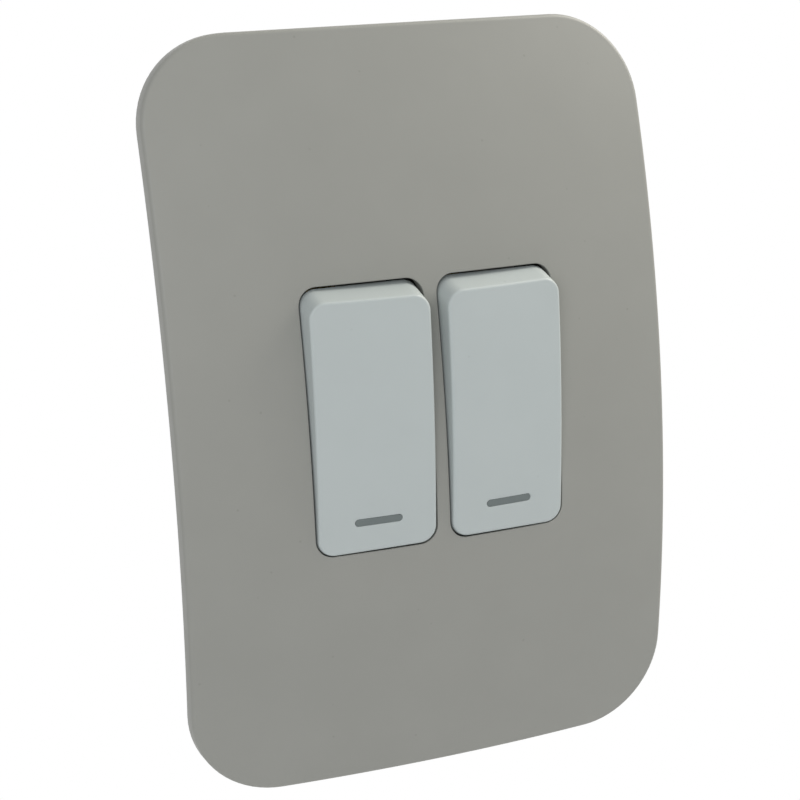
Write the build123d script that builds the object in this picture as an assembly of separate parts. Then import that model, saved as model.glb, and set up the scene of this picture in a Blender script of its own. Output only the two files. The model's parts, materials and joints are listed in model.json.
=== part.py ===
from build123d import *
import math
import os

# Two-gang light switch. X runs to the right, Y into the wall, Z up. The wall is the plane Y = 0.

# Cover plate
plate_width = 84.0
plate_height = 121.0
plate_corner = 14.5
bow_radius = 232.0  # front, seen from the side
cross_radius = 257.0  # front, seen from above
plate_stand = 13.0  # crown of the front above the wall
plate_wall = 2.2
rim_depth = 3.2
rim_width = 2.4
edge_round = 0.8
skirt_inset = 6.5
skirt_wall = 1.5
dome_reach = 20.0  # degrees of bow each way, more than the front needs

# Windows in the plate
window_width = 20.3
window_height = 42.7
window_corner = 2.5
window_bar = 2.2
window_flare = 14.0  # degrees that the end walls open by towards the back
flare_inset = 0.06  # start of the flare inside the window's end, which leaves a lip
flare_side = 0.25  # flare clear of the window's side walls

# Rocker
half_travel = 5.2  # degrees each way from level
rocker_proud = 1.7
face_to_pivot = 11.6
face_radius = 250.0  # seen from the side; from above the face follows the plate
side_gap = 0.22
end_gap = 0.25
end_draft = 13.0  # degrees
side_draft = 2.0  # degrees
draft_depth = 3.6
cap_depth = 5.2
cap_wall = 1.5
cap_corner = 2.8
face_round = 0.5
cheek_wall = 1.5
cheek_gap = 0.3
cheek_width = 7.0
pin_radius = 1.4
pin_length = 1.1
bearing_fit = 0.05
boss_wall = 1.3
boss_drop = 6.0

# Indicator bar
indicator_length = 7.85
indicator_width = 1.15
indicator_rise = 4.95  # above the rocker's lower end, along its face
indicator_fit = 0.03

# Plunger and its spring
plunger_radius = 1.6
plunger_fit = 0.06
plunger_reach = 12.0  # pivot to tip
plunger_grip = 0.4  # top of the plunger above the pivot
plunger_tip = 1.2
plunger_clear = 0.12
spring_room = 8.0
spring_wire = 0.28
spring_turns = 7
spring_side = 0.1
spring_end = 0.05

# Contact blade, its rivets and the knife edge
blade_half = 5.0  # degrees each way from level
blade_width = 6.0
blade_sheet = 0.8
blade_tail = 7.0
contact_arm = 9.5
contact_radius = 1.6
contact_head = 1.0
shank_radius = 0.8
rivet_fit = 0.02
contact_clear = 0.1
blade_margin = 0.7
knife_clear = 0.1
knife_flat = 0.3
knife_point = 1.4
knife_sheet = 1.2
ear_wall = 1.0
ear_gap = 0.2
ear_lap = 0.6

# Terminals
block_width = 8.0
block_height = 7.0
block_depth = 8.0
block_end_gap = 1.0
block_seat = 0.05
wire_radius = 1.7
wire_depth = 6.6
screw_radius = 1.6
screw_fit = 0.05
screw_back = 4.2  # screw axis in front of the back of the block
screw_tip_gap = 0.1  # tip clear of the wire hole
screw_stand = 0.8
screw_slot = 0.6
screw_slot_depth = 0.7
strip_sheet = 1.0
arm_past = 0.6

# Module base and collar
module_gap = 0.2  # between the two modules
module_height = 44.6
base_back = 21.0
base_wall = 1.3
base_corner = 0.8
base_round = 1.0
bearing_split = 1.0  # pivot axis behind the joint of base and collar
cap_clear = 0.4
ear_sheet = 1.6
ear_reach = 2.8
ear_span = 16.0
lug_reach = 1.1
lug_depth = 1.8
lug_span = 9.0
post_side = 2.8
peg_radius = 0.8
peg_length = 2.4
peg_fit = 0.05
rib_wall = 1.2
rib_gap = 0.1
rib_depth = 7.0
entry_lip = 0.8  # held edge of a clamp block around its wire entry
driver_slack = 0.6

# Mounting yoke
yoke_side_play = 1.0  # inside the plate's skirt
yoke_end_play = 0.5
yoke_sheet = 1.2
yoke_bend = 1.5  # inside radius of the fold
flange_rise = 5.5
flange_span = 68.0
opening_gap = 0.4
fixing_spacing = 84.0
fixing_radius = 2.15
lug_play = 0.1

# Plate clips
clip_height = 30.0  # above and below the middle
clip_span = 8.0
clip_wall = 1.6
clip_gap = 0.2
hook_reach = 0.9
hook_rise = 2.6  # middle of the hook above the wall
hook_depth = 1.4
slot_slack = 0.4

# Fall of the plate's front from its crown, across the plate
def cross_fall(x):
    return cross_radius - math.sqrt(cross_radius**2 - x**2)


# Values that follow from the sizes above
travel_sin = math.sin(math.radians(half_travel))
travel_cos = math.cos(math.radians(half_travel))
gang_pitch = window_width + window_bar
pivot_y = face_to_pivot - rocker_proud - plate_stand
face_sag = face_radius - math.sqrt(face_radius**2 - (window_height / 2) ** 2)
face_end = face_to_pivot - face_sag
face_fall = cross_fall(gang_pitch / 2 + window_width / 2) - cross_fall(gang_pitch / 2)
ceiling = face_end - face_fall - cap_wall
face_half = (window_height / 2 - end_gap - face_end * travel_sin) / travel_cos
indicator_drop = face_half - indicator_rise
cap_width = window_width - 2 * side_gap
cap_base = face_end - cap_depth
draft_level = face_end - draft_depth
cap_half = face_half + draft_depth * math.tan(math.radians(end_draft))
boss_radius = plunger_radius + plunger_fit + boss_wall
base_width = gang_pitch - module_gap
base_front = pivot_y - bearing_split
base_floor = base_back - base_wall
inner_half = base_width / 2 - base_wall
collar_front = pivot_y - cap_base * travel_cos + cap_half * travel_sin + cap_clear
blade_front = pivot_y + plunger_reach + plunger_clear
blade_back = blade_front + blade_sheet
blade_sin = math.sin(math.radians(blade_half))
blade_cos = math.cos(math.radians(blade_half))
closed_reach = contact_head * blade_cos + (contact_arm + contact_radius) * blade_sin
fixed_face = blade_back + closed_reach + contact_clear
arm_front = fixed_face + contact_head
block_back = base_floor - block_seat
block_front = block_back - block_depth
block_z = module_height / 2 - base_wall - block_end_gap - block_height / 2
screw_y = block_back - screw_back
skirt_inside = skirt_inset + skirt_wall
yoke_width = plate_width - 2 * (skirt_inside + yoke_side_play)
yoke_height = plate_height - 2 * (skirt_inside + yoke_end_play)
yoke_corner = plate_corner - skirt_inside - yoke_end_play
clip_x = yoke_width / 2 - yoke_sheet - clip_gap - clip_wall / 2


# A sketch in X and Z made solid from one depth to another, seen from the front
def prism(sketch, back, front):
    return extrude(Plane.XZ.offset(-back) * sketch, amount=back - front)


# A block between two opposite corners
def block(low, high):
    size = [b - a for a, b in zip(low, high)]
    middle = [(a + b) / 2 for a, b in zip(low, high)]
    return Pos(*middle) * Box(*size)


# A round bar along Y, X or Z, between two values on that axis
def bar_y(radius, x, z, low, high):
    return Pos(x, (low + high) / 2, z) * Rot(90, 0, 0) * Cylinder(radius, high - low)


def bar_x(radius, y, z, low, high):
    return Pos((low + high) / 2, y, z) * Rot(0, 90, 0) * Cylinder(radius, high - low)


def bar_z(radius, x, y, low, high):
    return Pos(x, y, (low + high) / 2) * Cylinder(radius, high - low)


# Everything behind the plate's front surface, at a depth below it
def dome(depth):
    far = plate_width
    arc_radius = cross_radius - depth
    arc_middle = cross_radius - plate_stand
    edge_y = arc_middle - math.sqrt(arc_radius**2 - far**2)
    crown = (0, depth - plate_stand)
    rear = base_back + plate_width / 2
    arc = ThreePointArc((-far, edge_y), crown, (far, edge_y))
    rest = Polyline((far, edge_y), (far, rear), (-far, rear), (-far, edge_y))
    axis = Axis((0, bow_radius - plate_stand, 0), (1, 0, 0))
    solid = revolve(make_face(Curve() + [arc, rest]), axis=axis, revolution_arc=2 * dome_reach)
    return solid.rotate(axis, -dome_reach)


# The plate's front at a point
def front_y(x, z):
    return bow_radius - plate_stand - math.sqrt((bow_radius - cross_fall(x)) ** 2 - z**2)


def plate_outline(inset):
    corner = plate_corner - inset
    return RectangleRounded(plate_width - 2 * inset, plate_height - 2 * inset, corner)


def cover_plate():
    deep = -2 * plate_stand
    shell = prism(plate_outline(0), 0, deep) & (dome(0) - dome(rim_depth))
    shell -= prism(plate_outline(rim_width), 0, deep) & dome(plate_wall)
    # the front edge is rounded all the way along the outline
    front = shell.faces().sort_by(Axis.Y)[0]
    shell = fillet(front.outer_wire().edges(), edge_round)
    ring = plate_outline(skirt_inset) - plate_outline(skirt_inside)
    shell += prism(ring, 0, deep) & dome(plate_wall / 2)
    for side in (-1, 1):
        for end in (-1, 1):
            shell += plate_clip(side, end)
    for gang_x in gang_places:
        window = RectangleRounded(window_width, window_height, window_corner)
        shell -= Pos(gang_x, 0, 0) * prism(window, 0, deep)
        shell -= flare_form(gang_x)
    return shell


# The room that opens behind the lips at the window's ends, square to the front there
def flare_form(gang_x):
    width = window_width - 2 * flare_side
    height = window_height - 2 * flare_inset
    corner = window_corner - flare_side
    reach = 2 * plate_wall
    growth = 2 * reach * math.tan(math.radians(window_flare))
    near = Plane.XZ * RectangleRounded(width, height, corner)
    far = Plane.XZ.offset(-reach) * RectangleRounded(width, height + growth, corner)
    lean = math.degrees(math.asin(gang_x / cross_radius))
    start = Pos(gang_x, front_y(gang_x, window_height / 2), 0) * Rot(0, 0, lean)
    return start * loft([near, far], ruled=True)


# A tongue inside the yoke's flange, with a hook that points outwards
def plate_clip(side, end):
    foot = -hook_rise + hook_depth / 2
    tongue = prism(Rectangle(clip_wall, clip_span), foot, -2 * plate_stand)
    tongue = Pos(side * clip_x, 0, end * clip_height) * tongue
    tongue &= dome(plate_wall / 2)
    root = clip_x + clip_wall / 2
    tip = root + hook_reach + clip_gap
    rise = -hook_rise - hook_depth / 2
    profile = Polygon((clip_x, foot), (root, foot), (tip, rise), (clip_x, rise), align=None)
    hook = Pos(0, 0, end * clip_height) * extrude(profile, amount=clip_span / 2, both=True)
    if side < 0:
        hook = mirror(hook, Plane.YZ)
    return tongue + hook


def mounting_yoke():
    outline = RectangleRounded(yoke_width, yoke_height, yoke_corner)
    # the folded section, from above
    half = yoke_width / 2
    outer = Rectangle(yoke_width, flange_rise, align=(Align.CENTER, Align.MAX))
    bend_corners = outer.vertices().group_by(Axis.Y)[-1]
    outer = fillet(bend_corners, yoke_bend + yoke_sheet)
    inner = Pos(0, -yoke_sheet, 0) * Rectangle(
        yoke_width - 2 * yoke_sheet, flange_rise, align=(Align.CENTER, Align.MAX)
    )
    inner = fillet(inner.vertices().group_by(Axis.Y)[-1], yoke_bend)
    folded = extrude(outer - inner, amount=flange_span / 2, both=True)
    flat_half = half - yoke_sheet - yoke_bend
    flat = RectangleRounded(2 * flat_half, yoke_height, yoke_corner)
    yoke = folded + prism(flat & outline, 0, -yoke_sheet)
    opening = Rectangle(2 * gang_pitch + 2 * opening_gap, module_height + 2 * opening_gap)
    yoke -= prism(opening, yoke_sheet, -2 * yoke_sheet)
    for end in (-1, 1):
        yoke -= bar_y(fixing_radius, 0, end * fixing_spacing / 2, -2 * yoke_sheet, yoke_sheet)
        for side in (-1, 1):
            slot_depth = hook_depth + 2 * slot_slack
            slot = Box(4 * yoke_sheet, slot_depth, clip_span + 2 * slot_slack)
            yoke -= Pos(side * half, -hook_rise, end * clip_height) * slot
    return yoke


# The rocker's outline at a height above the pivot axis
def cap_section(level, inset):
    lean_ends = (face_end - level) * math.tan(math.radians(end_draft))
    lean_sides = (level - draft_level) * math.tan(math.radians(side_draft))
    width = cap_width - 2 * lean_sides - 2 * inset
    height = 2 * (face_half + lean_ends - inset)
    corner = max(cap_corner - inset, cap_corner / 4)
    return Plane.XZ.offset(level) * RectangleRounded(width, height, corner)


def cap_form(roof, inset):
    foot = cap_section(draft_level, inset)
    form = loft([foot, cap_section(roof, inset)], ruled=True)
    return form + extrude(foot, amount=cap_base - draft_level)


# A rocker's crowned face, as everything behind it
def face_form(gang_x):
    far = window_width
    arc_middle = cross_radius - face_to_pivot - cross_fall(gang_x)
    left_y = arc_middle - math.sqrt(cross_radius**2 - (gang_x - far) ** 2)
    right_y = arc_middle - math.sqrt(cross_radius**2 - (gang_x + far) ** 2)
    arc = ThreePointArc((-far, left_y), (0, -face_to_pivot), (far, right_y))
    rest = Polyline((far, right_y), (far, face_to_pivot), (-far, face_to_pivot), (-far, left_y))
    axis = Axis((0, face_radius - face_to_pivot, 0), (1, 0, 0))
    solid = revolve(make_face(Curve() + [arc, rest]), axis=axis, revolution_arc=2 * dome_reach)
    return solid.rotate(axis, -dome_reach)


# The rocker is drawn level, with the pivot axis at the origin
def rocker(gang_x):
    cap = cap_form(face_to_pivot + cap_wall, 0) & face_form(gang_x)
    face = cap.faces().sort_by(Axis.Y)[0]
    cap = fillet(face.edges(), face_round)
    cap -= cap_form(ceiling, cap_wall)
    cheek_outer = inner_half - cheek_gap
    cheek_inner = cheek_outer - cheek_wall
    for side in (-1, 1):
        plate = block((cheek_inner, -ceiling, -cheek_width / 2), (cheek_outer, 0, cheek_width / 2))
        plate += bar_x(cheek_width / 2, 0, 0, cheek_inner, cheek_outer)
        plate &= cap_form(ceiling, 0) + block(
            (cheek_inner, -cap_base, -cheek_width), (cheek_outer, cheek_width, cheek_width)
        )
        plate += bar_x(pin_radius, 0, 0, cheek_inner, cheek_outer + pin_length)
        cap += plate if side > 0 else mirror(plate, Plane.YZ)
    cap += bar_y(boss_radius, 0, 0, -ceiling, boss_drop)
    spring_top = -plunger_grip - spring_room
    cap -= bar_y(plunger_radius + plunger_fit, 0, 0, spring_top, boss_drop)
    return cap - indicator_slot(indicator_fit)


# The bar's outline through the wall of the face, standing past it in front
def indicator_slot(fit):
    slot = SlotOverall(indicator_length + 2 * fit, indicator_width + 2 * fit)
    return prism(Pos(0, -indicator_drop) * slot, -ceiling, -face_to_pivot - cap_wall)


def indicator(gang_x):
    return indicator_slot(0) & face_form(gang_x)


def plunger():
    shaft = bar_y(plunger_radius, 0, 0, -plunger_grip, plunger_reach)
    end_edge = shaft.edges().sort_by(Axis.Y)[-1]
    return fillet(end_edge, plunger_tip)


def plunger_spring():
    coil_radius = plunger_radius - spring_side - spring_wire
    length = spring_room - 2 * spring_wire - 2 * spring_end
    coil = Helix(length / spring_turns, length, coil_radius)
    ring = Plane(coil @ 0, z_dir=coil % 0) * Circle(spring_wire)
    spring = sweep(ring, path=coil, is_frenet=True)
    start = plunger_grip + spring_end + spring_wire
    return Rot(90, 0, 0) * Pos(0, 0, start) * spring


# The blade is drawn level, with the knife edge at the origin
def contact_blade():
    top = contact_arm + contact_radius + blade_margin
    blade = block((-blade_width / 2, -blade_sheet, -blade_tail), (blade_width / 2, 0, top))
    corners = blade.edges().filter_by(Axis.Y)
    blade = fillet(corners, contact_radius)
    return blade - bar_y(shank_radius + rivet_fit, 0, contact_arm, -blade_sheet, 0)


# A rivet through a sheet, its head at the back of the sheet
def rivet(sheet):
    head = bar_y(contact_radius, 0, 0, 0, contact_head)
    return head + bar_y(shank_radius, 0, 0, -sheet, 0)


# A clamp block on the module's centre line, with its wire hole and its screw hole
def terminal_block(end):
    low = end * block_z - block_height / 2
    solid = block((-block_width / 2, block_front, low), (block_width / 2, block_back, low + block_height))
    solid -= bar_y(wire_radius, 0, end * block_z, block_back - wire_depth, block_back)
    screw = bar_z(screw_radius + screw_fit, 0, screw_y, block_z, block_z + block_height)
    return solid - (screw if end > 0 else mirror(screw, Plane.XY))


def common_terminal():
    solid = terminal_block(-1)
    inner = -block_z + block_height / 2
    half = blade_width / 2
    span = half + ear_gap + ear_wall
    knife = blade_back + knife_clear
    solid += block((-half, block_back - strip_sheet, inner), (half, block_back, knife_sheet / 2))
    upstand = block((-span, knife + knife_point, -knife_sheet / 2), (span, block_back, knife_sheet / 2))
    edge = Polygon(
        (knife, -knife_flat / 2),
        (knife, knife_flat / 2),
        (knife + knife_point, knife_sheet / 2),
        (knife + knife_point, -knife_sheet / 2),
        align=None,
    )
    upstand += extrude(Plane.YZ * edge, amount=half, both=True)
    for side in (-1, 1):
        ear_low = block(
            (half + ear_gap, blade_front - ear_lap, -knife_sheet / 2),
            (span, knife + knife_point, knife_sheet / 2),
        )
        upstand += ear_low if side > 0 else mirror(ear_low, Plane.YZ)
    return solid + upstand


def switched_terminal():
    solid = terminal_block(1)
    inner = block_z - block_height / 2
    low = contact_arm - contact_radius - arm_past
    half = contact_radius + arm_past
    solid += block((-half, arm_front, low), (half, arm_front + strip_sheet, inner))
    return solid - bar_y(shank_radius + rivet_fit, 0, contact_arm, arm_front, arm_front + strip_sheet)


def terminal_screw(end):
    low = block_z + wire_radius + screw_tip_gap
    high = block_z + block_height / 2 + screw_stand
    screw = bar_z(screw_radius, 0, screw_y, low, high)
    slot = Box(2 * screw_radius, screw_slot, 2 * screw_slot_depth)
    screw -= Pos(0, screw_y, high) * slot
    return screw if end > 0 else mirror(screw, Plane.XY)


def module_outline(inset):
    corner = max(base_corner - inset, base_corner / 4)
    return RectangleRounded(base_width - 2 * inset, module_height - 2 * inset, corner)


# The four corners inside the module, where the collar is pegged to the base
def post_places():
    x = inner_half - post_side / 2
    z = module_height / 2 - base_wall - post_side / 2
    return [(a * x, b * z) for a in (-1, 1) for b in (-1, 1)]


def module_base():
    base = prism(module_outline(0), base_back, base_front)
    base = fillet(base.faces().sort_by(Axis.Y)[-1].edges(), base_round)
    base -= prism(module_outline(base_wall), base_floor, base_front)
    for x, z in post_places():
        base += Pos(x, 0, z) * prism(Rectangle(post_side, post_side), base_floor, base_front)
        base -= bar_y(peg_radius + peg_fit, x, z, base_front, base_front + peg_length + peg_fit)
    # ribs beside the clamp blocks
    rib_x = block_width / 2 + rib_gap
    for end in (-1, 1):
        for side in (-1, 1):
            rib = Box(rib_wall, rib_depth, block_height)
            base += Pos(side * (rib_x + rib_wall / 2), base_floor - rib_depth / 2, end * block_z) * rib
        entry = Rectangle(block_width - 2 * entry_lip, block_height - 2 * entry_lip)
        base -= Pos(0, 0, end * block_z) * prism(entry, base_back, base_floor)
        wall = module_height / 2
        driver = bar_z(screw_radius + driver_slack, 0, screw_y, wall - 2 * base_wall, wall)
        base -= driver if end > 0 else mirror(driver, Plane.XY)
        base += base_ear() if end > 0 else mirror(base_ear(), Plane.XY)
    # open slots for the pivot pins
    reach = base_width
    base -= bar_x(pin_radius + bearing_fit, pivot_y, 0, -reach, reach)
    pin_half = pin_radius + bearing_fit
    return base - block((-reach, base_front, -pin_half), (reach, pivot_y, pin_half))


# The ear that rests on the yoke, and the wedge that snaps behind it
def base_ear():
    edge = module_height / 2
    front = -yoke_sheet - ear_sheet
    ear = block((-ear_span / 2, front, edge - base_wall), (ear_span / 2, -yoke_sheet, edge + ear_reach))
    wedge = Polygon(
        (lug_play, edge - base_wall),
        (lug_play, edge + lug_reach),
        (lug_play + lug_depth, edge),
        (lug_play + lug_depth, edge - base_wall),
        align=None,
    )
    return ear + extrude(Plane.YZ * wedge, amount=lug_span / 2, both=True)


def module_collar():
    collar = prism(module_outline(0), base_front, collar_front)
    collar -= prism(module_outline(base_wall), base_front, collar_front)
    for x, z in post_places():
        collar += Pos(x, 0, z) * prism(Rectangle(post_side, post_side), base_front, collar_front)
        collar += bar_y(peg_radius, x, z, base_front, base_front + peg_length)
    reach = base_width
    return collar - bar_x(pin_radius + bearing_fit, pivot_y, 0, -reach, reach)


gang_places = (-gang_pitch / 2, gang_pitch / 2)
pieces = {"cover_plate": cover_plate(), "mounting_yoke": mounting_yoke()}
for gang, gang_x in zip(("left", "right"), gang_places):
    module = Pos(gang_x, 0, 0)
    tilted = Pos(gang_x, pivot_y, 0) * Rot(half_travel, 0, 0)
    rocked = Pos(gang_x, blade_back, 0) * Rot(-blade_half, 0, 0)
    pieces[gang + "_module_base"] = module * module_base()
    pieces[gang + "_module_collar"] = module * module_collar()
    pieces[gang + "_rocker"] = tilted * rocker(gang_x)
    pieces[gang + "_indicator"] = tilted * indicator(gang_x)
    pieces[gang + "_plunger"] = tilted * plunger()
    pieces[gang + "_plunger_spring"] = tilted * plunger_spring()
    pieces[gang + "_contact_blade"] = rocked * contact_blade()
    pieces[gang + "_moving_contact"] = rocked * Pos(0, 0, contact_arm) * rivet(blade_sheet)
    pieces[gang + "_common_terminal"] = module * common_terminal()
    pieces[gang + "_switched_terminal"] = module * switched_terminal()
    fixed = Pos(gang_x, arm_front, contact_arm) * Rot(180, 0, 0)
    pieces[gang + "_fixed_contact"] = fixed * rivet(strip_sheet)
    screws = [module * terminal_screw(end) for end in (-1, 1)]
    pieces[gang + "_terminal_screws"] = Compound(screws)

os.makedirs("parts", exist_ok=True)
for name, piece in pieces.items():
    export_step(piece, "parts/" + name + ".step")
print("pivot axis", round(pivot_y, 3), "blade axis", round(blade_back, 3), "pitch", gang_pitch)
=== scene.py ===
import json
import math

import bmesh
import bpy
import numpy as np
from mathutils import Matrix, Vector
from mathutils.geometry import delaunay_2d_cdt

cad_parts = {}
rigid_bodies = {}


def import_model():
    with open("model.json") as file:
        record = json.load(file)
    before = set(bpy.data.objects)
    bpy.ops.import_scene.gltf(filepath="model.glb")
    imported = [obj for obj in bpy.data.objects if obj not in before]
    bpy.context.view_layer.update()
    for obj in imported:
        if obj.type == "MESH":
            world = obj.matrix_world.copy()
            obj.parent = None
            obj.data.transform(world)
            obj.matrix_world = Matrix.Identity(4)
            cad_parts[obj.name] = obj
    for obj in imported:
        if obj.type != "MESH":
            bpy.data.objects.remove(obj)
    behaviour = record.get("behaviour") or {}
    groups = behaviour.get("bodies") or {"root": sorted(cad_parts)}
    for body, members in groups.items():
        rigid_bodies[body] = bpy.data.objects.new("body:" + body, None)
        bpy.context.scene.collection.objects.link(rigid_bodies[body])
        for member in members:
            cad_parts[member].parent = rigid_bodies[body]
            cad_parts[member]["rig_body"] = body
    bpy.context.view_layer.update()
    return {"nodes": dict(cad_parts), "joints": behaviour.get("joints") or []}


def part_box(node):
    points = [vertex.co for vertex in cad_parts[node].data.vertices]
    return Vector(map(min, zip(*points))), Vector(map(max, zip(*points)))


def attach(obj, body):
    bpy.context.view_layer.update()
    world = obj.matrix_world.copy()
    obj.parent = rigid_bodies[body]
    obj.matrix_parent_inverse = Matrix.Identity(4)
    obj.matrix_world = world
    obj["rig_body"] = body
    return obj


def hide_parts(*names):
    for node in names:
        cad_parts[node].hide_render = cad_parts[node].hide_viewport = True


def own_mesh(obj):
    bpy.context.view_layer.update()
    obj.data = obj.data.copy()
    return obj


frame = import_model()
mm = 0.001  # pieces are drawn in millimetres and made in metres
gangs = ("left", "right")
probe = 0.01  # a short way along a surface, to find its slope
creaseAngle = 32  # faces that meet at more degrees keep a crease
print("frame loaded,", len(frame["nodes"]), "nodes")


# Outlines and rings

def roundedOutline(width, height, corner, arcSteps, step):
    # points of a rounded rectangle, each with its outward normal: x, z, normal x, normal z
    points = []
    for quarter, (sideX, sideZ) in enumerate(((1, 1), (-1, 1), (-1, -1), (1, -1))):
        middle = np.array((sideX * (width / 2 - corner), sideZ * (height / 2 - corner)))
        for k in range(arcSteps + 1):
            angle = math.pi / 2 * (quarter + k / arcSteps)
            normal = np.array((math.cos(angle), math.sin(angle)))
            points.append((*(middle + corner * normal), *normal))
        run = (height if quarter % 2 else width) - 2 * corner
        along = np.array((-normal[1], normal[0]))
        count = max(1, round(run / step))
        for k in range(1, count):
            points.append((*(middle + corner * normal + along * run * k / count), *normal))
    return np.array(points)


def slotOutline(length, width, arcSteps):
    short = 1e-4  # the half rounds stop just short of meeting, so that no two points fall together
    runSteps = 8
    return roundedOutline(length, width, width / 2 - short, arcSteps, length / runSteps)


def circleOutline(radius, steps):
    angle = np.linspace(0, 2 * math.pi, steps, endpoint=False)
    normal = np.stack((np.cos(angle), np.sin(angle)), 1)
    return np.hstack((radius * normal, normal))


def inset(outline, distance):
    # the outline moved inwards, by one distance or by one for each point
    moved = outline.copy()
    moved[:, :2] -= outline[:, 2:] * np.reshape(distance, (-1, 1))
    return moved


def edgeRounding(wallIn, wallOut, faceIn, faceOut, radius, steps):
    # a rounding between a wall and a face that meet at 0
    # each step is (inward, outward), from the wall to the face
    wall = np.stack(np.broadcast_arrays(wallIn, wallOut), -1).astype(float)
    face = np.stack(np.broadcast_arrays(faceIn, faceOut), -1).astype(float)
    wall, face = np.broadcast_arrays(wall, face)
    wall = wall / np.linalg.norm(wall, axis=-1, keepdims=True)
    face = face / np.linalg.norm(face, axis=-1, keepdims=True)
    half = np.arccos(np.clip((wall * face).sum(-1, keepdims=True), -1, 1)) / 2
    middle = (wall + face) / np.linalg.norm(wall + face, axis=-1, keepdims=True)
    middle = middle * radius / np.sin(half)
    start = wall * radius / np.tan(half) - middle
    stop = face * radius / np.tan(half) - middle
    turn = math.pi - 2 * half
    shares = np.linspace(0, 1, steps + 1)
    return [
        (np.sin((1 - t) * turn) * start + np.sin(t * turn) * stop) / np.sin(turn) + middle for t in shares
    ]


# A shell is a list of points and a list of faces, grown ring by ring

def newShell():
    return {"points": [], "faces": []}


def addRing(shell, points):
    first = len(shell["points"])
    shell["points"].extend(np.asarray(points, float).tolist())
    return list(range(first, len(shell["points"])))


def bridge(shell, one, other):
    for k in range(len(one)):
        nxt = (k + 1) % len(one)
        shell["faces"].append((one[k], one[nxt], other[nxt], other[k]))


def bridgeAll(shell, rings):
    for one, other in zip(rings, rings[1:]):
        bridge(shell, one, other)


def frontPlane(point):
    return point[0], point[2]


def inside(points, polygon):
    # whether each point lies within the polygon, by counting the sides that a level line crosses
    x, z = points[:, :1], points[:, 1:]
    ax, az = polygon[:, 0], polygon[:, 1]
    bx, bz = np.roll(ax, -1), np.roll(az, -1)
    crosses = (az > z) != (bz > z)
    notZero = 1e-12
    slope = (bx - ax) / np.where(bz == az, notZero, bz - az)
    return (crosses & (x < ax + (z - az) * slope)).sum(1) % 2 == 1


def fillRegion(shell, outer, holes, lift, spacing):
    # triangles between an outer ring and its holes, drawn from the front
    # lift puts a new point on the surface
    margin = 0.6 * spacing  # no new point comes nearer to a ring
    mergeDistance = 1e-6
    rings = [outer] + holes
    edgePoints = [np.array([frontPlane(shell["points"][k]) for k in ring]) for ring in rings]
    low, high = edgePoints[0].min(0), edgePoints[0].max(0)
    grid = []
    for row, z in enumerate(np.arange(low[1], high[1], spacing * math.sqrt(3) / 2)):
        shift = spacing / 2 * (row % 2)
        grid.extend((x, z) for x in np.arange(low[0] + shift, high[0], spacing))
    grid = np.array(grid).reshape(-1, 2)
    keep = inside(grid, edgePoints[0])
    for hole in edgePoints[1:]:
        keep &= ~inside(grid, hole)
    grid = grid[keep]
    border = np.vstack(edgePoints)
    near = np.array([np.min(((border - p) ** 2).sum(1)) for p in grid]) if len(grid) else np.zeros(0)
    grid = grid[near > margin ** 2]
    numbers = [k for ring in rings for k in ring]
    edges, start = [], 0
    for ring in rings:
        edges.extend((start + k, start + (k + 1) % len(ring)) for k in range(len(ring)))
        start += len(ring)
    if len(grid):
        numbers += addRing(shell, [lift(x, z) for x, z in grid])
    flatPoints = np.vstack((border, grid))
    corners = [Vector(p) for p in flatPoints.tolist()]
    faces, origins = delaunay_2d_cdt(corners, edges, [], 0, mergeDistance)[2:4]
    source = [ids[0] for ids in origins]
    triangles = np.array([[source[k] for k in face] for face in faces])
    middles = flatPoints[triangles].mean(1)
    keep = inside(middles, edgePoints[0])
    for hole in edgePoints[1:]:
        keep &= ~inside(middles, hole)
    shell["faces"].extend(tuple(numbers[k] for k in tri) for tri in triangles[keep].tolist())


def shellMesh(name, shell):
    mesh = bpy.data.meshes.new(name)
    mesh.from_pydata([tuple(c * mm for c in p) for p in shell["points"]], [], shell["faces"])
    tidyMesh(mesh)
    return mesh


def tidyMesh(mesh):
    # faces outwards and smooth, but for the creases
    work = bmesh.new()
    work.from_mesh(mesh)
    bmesh.ops.recalc_face_normals(work, faces=work.faces)
    for face in work.faces:
        face.smooth = True
    work.to_mesh(mesh)
    work.free()
    mesh.set_sharp_from_angle(angle=math.radians(creaseAngle))


def newObject(name, mesh):
    made = bpy.data.objects.new(name, mesh)
    bpy.context.scene.collection.objects.link(made)
    return made


def plainMesh(name, source):
    # what an object's modifiers make of it, as a mesh of its own
    shaped = source.evaluated_get(bpy.context.evaluated_depsgraph_get())
    mesh = bpy.data.meshes.new_from_object(shaped)
    mesh.name = name
    tidyMesh(mesh)
    return mesh


def placePiece(name, mesh, material, body, slot, *nodes):
    # a finished piece that moves with a body and stands for its nodes
    piece = newObject(name, mesh)
    mesh.materials.clear()
    mesh.materials.append(material)
    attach(piece, body)
    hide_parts(*nodes)
    return piece


# Node trees and materials

def addNode(tree, kind, links=None, **settings):
    # a node with its options and its inputs, each linked or set
    node = tree.nodes.new(kind)
    for option, value in settings.items():
        setattr(node, option, value)
    for socket, value in (links or {}).items():
        if isinstance(value, bpy.types.NodeSocket):
            tree.links.new(value, node.inputs[socket])
        else:
            node.inputs[socket].default_value = value
    return node


def mathNode(tree, operation, one, other=0.0):
    return addNode(tree, "ShaderNodeMath", {0: one, 1: other}, operation=operation).outputs[0]


def startMaterial(name):
    material = bpy.data.materials.new(name)
    material.use_nodes = True
    tree = material.node_tree
    tree.nodes.clear()
    shader = addNode(tree, "ShaderNodeBsdfPrincipled")
    addNode(tree, "ShaderNodeOutputMaterial", {"Surface": shader.outputs["BSDF"]})
    return material, tree, shader


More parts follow.
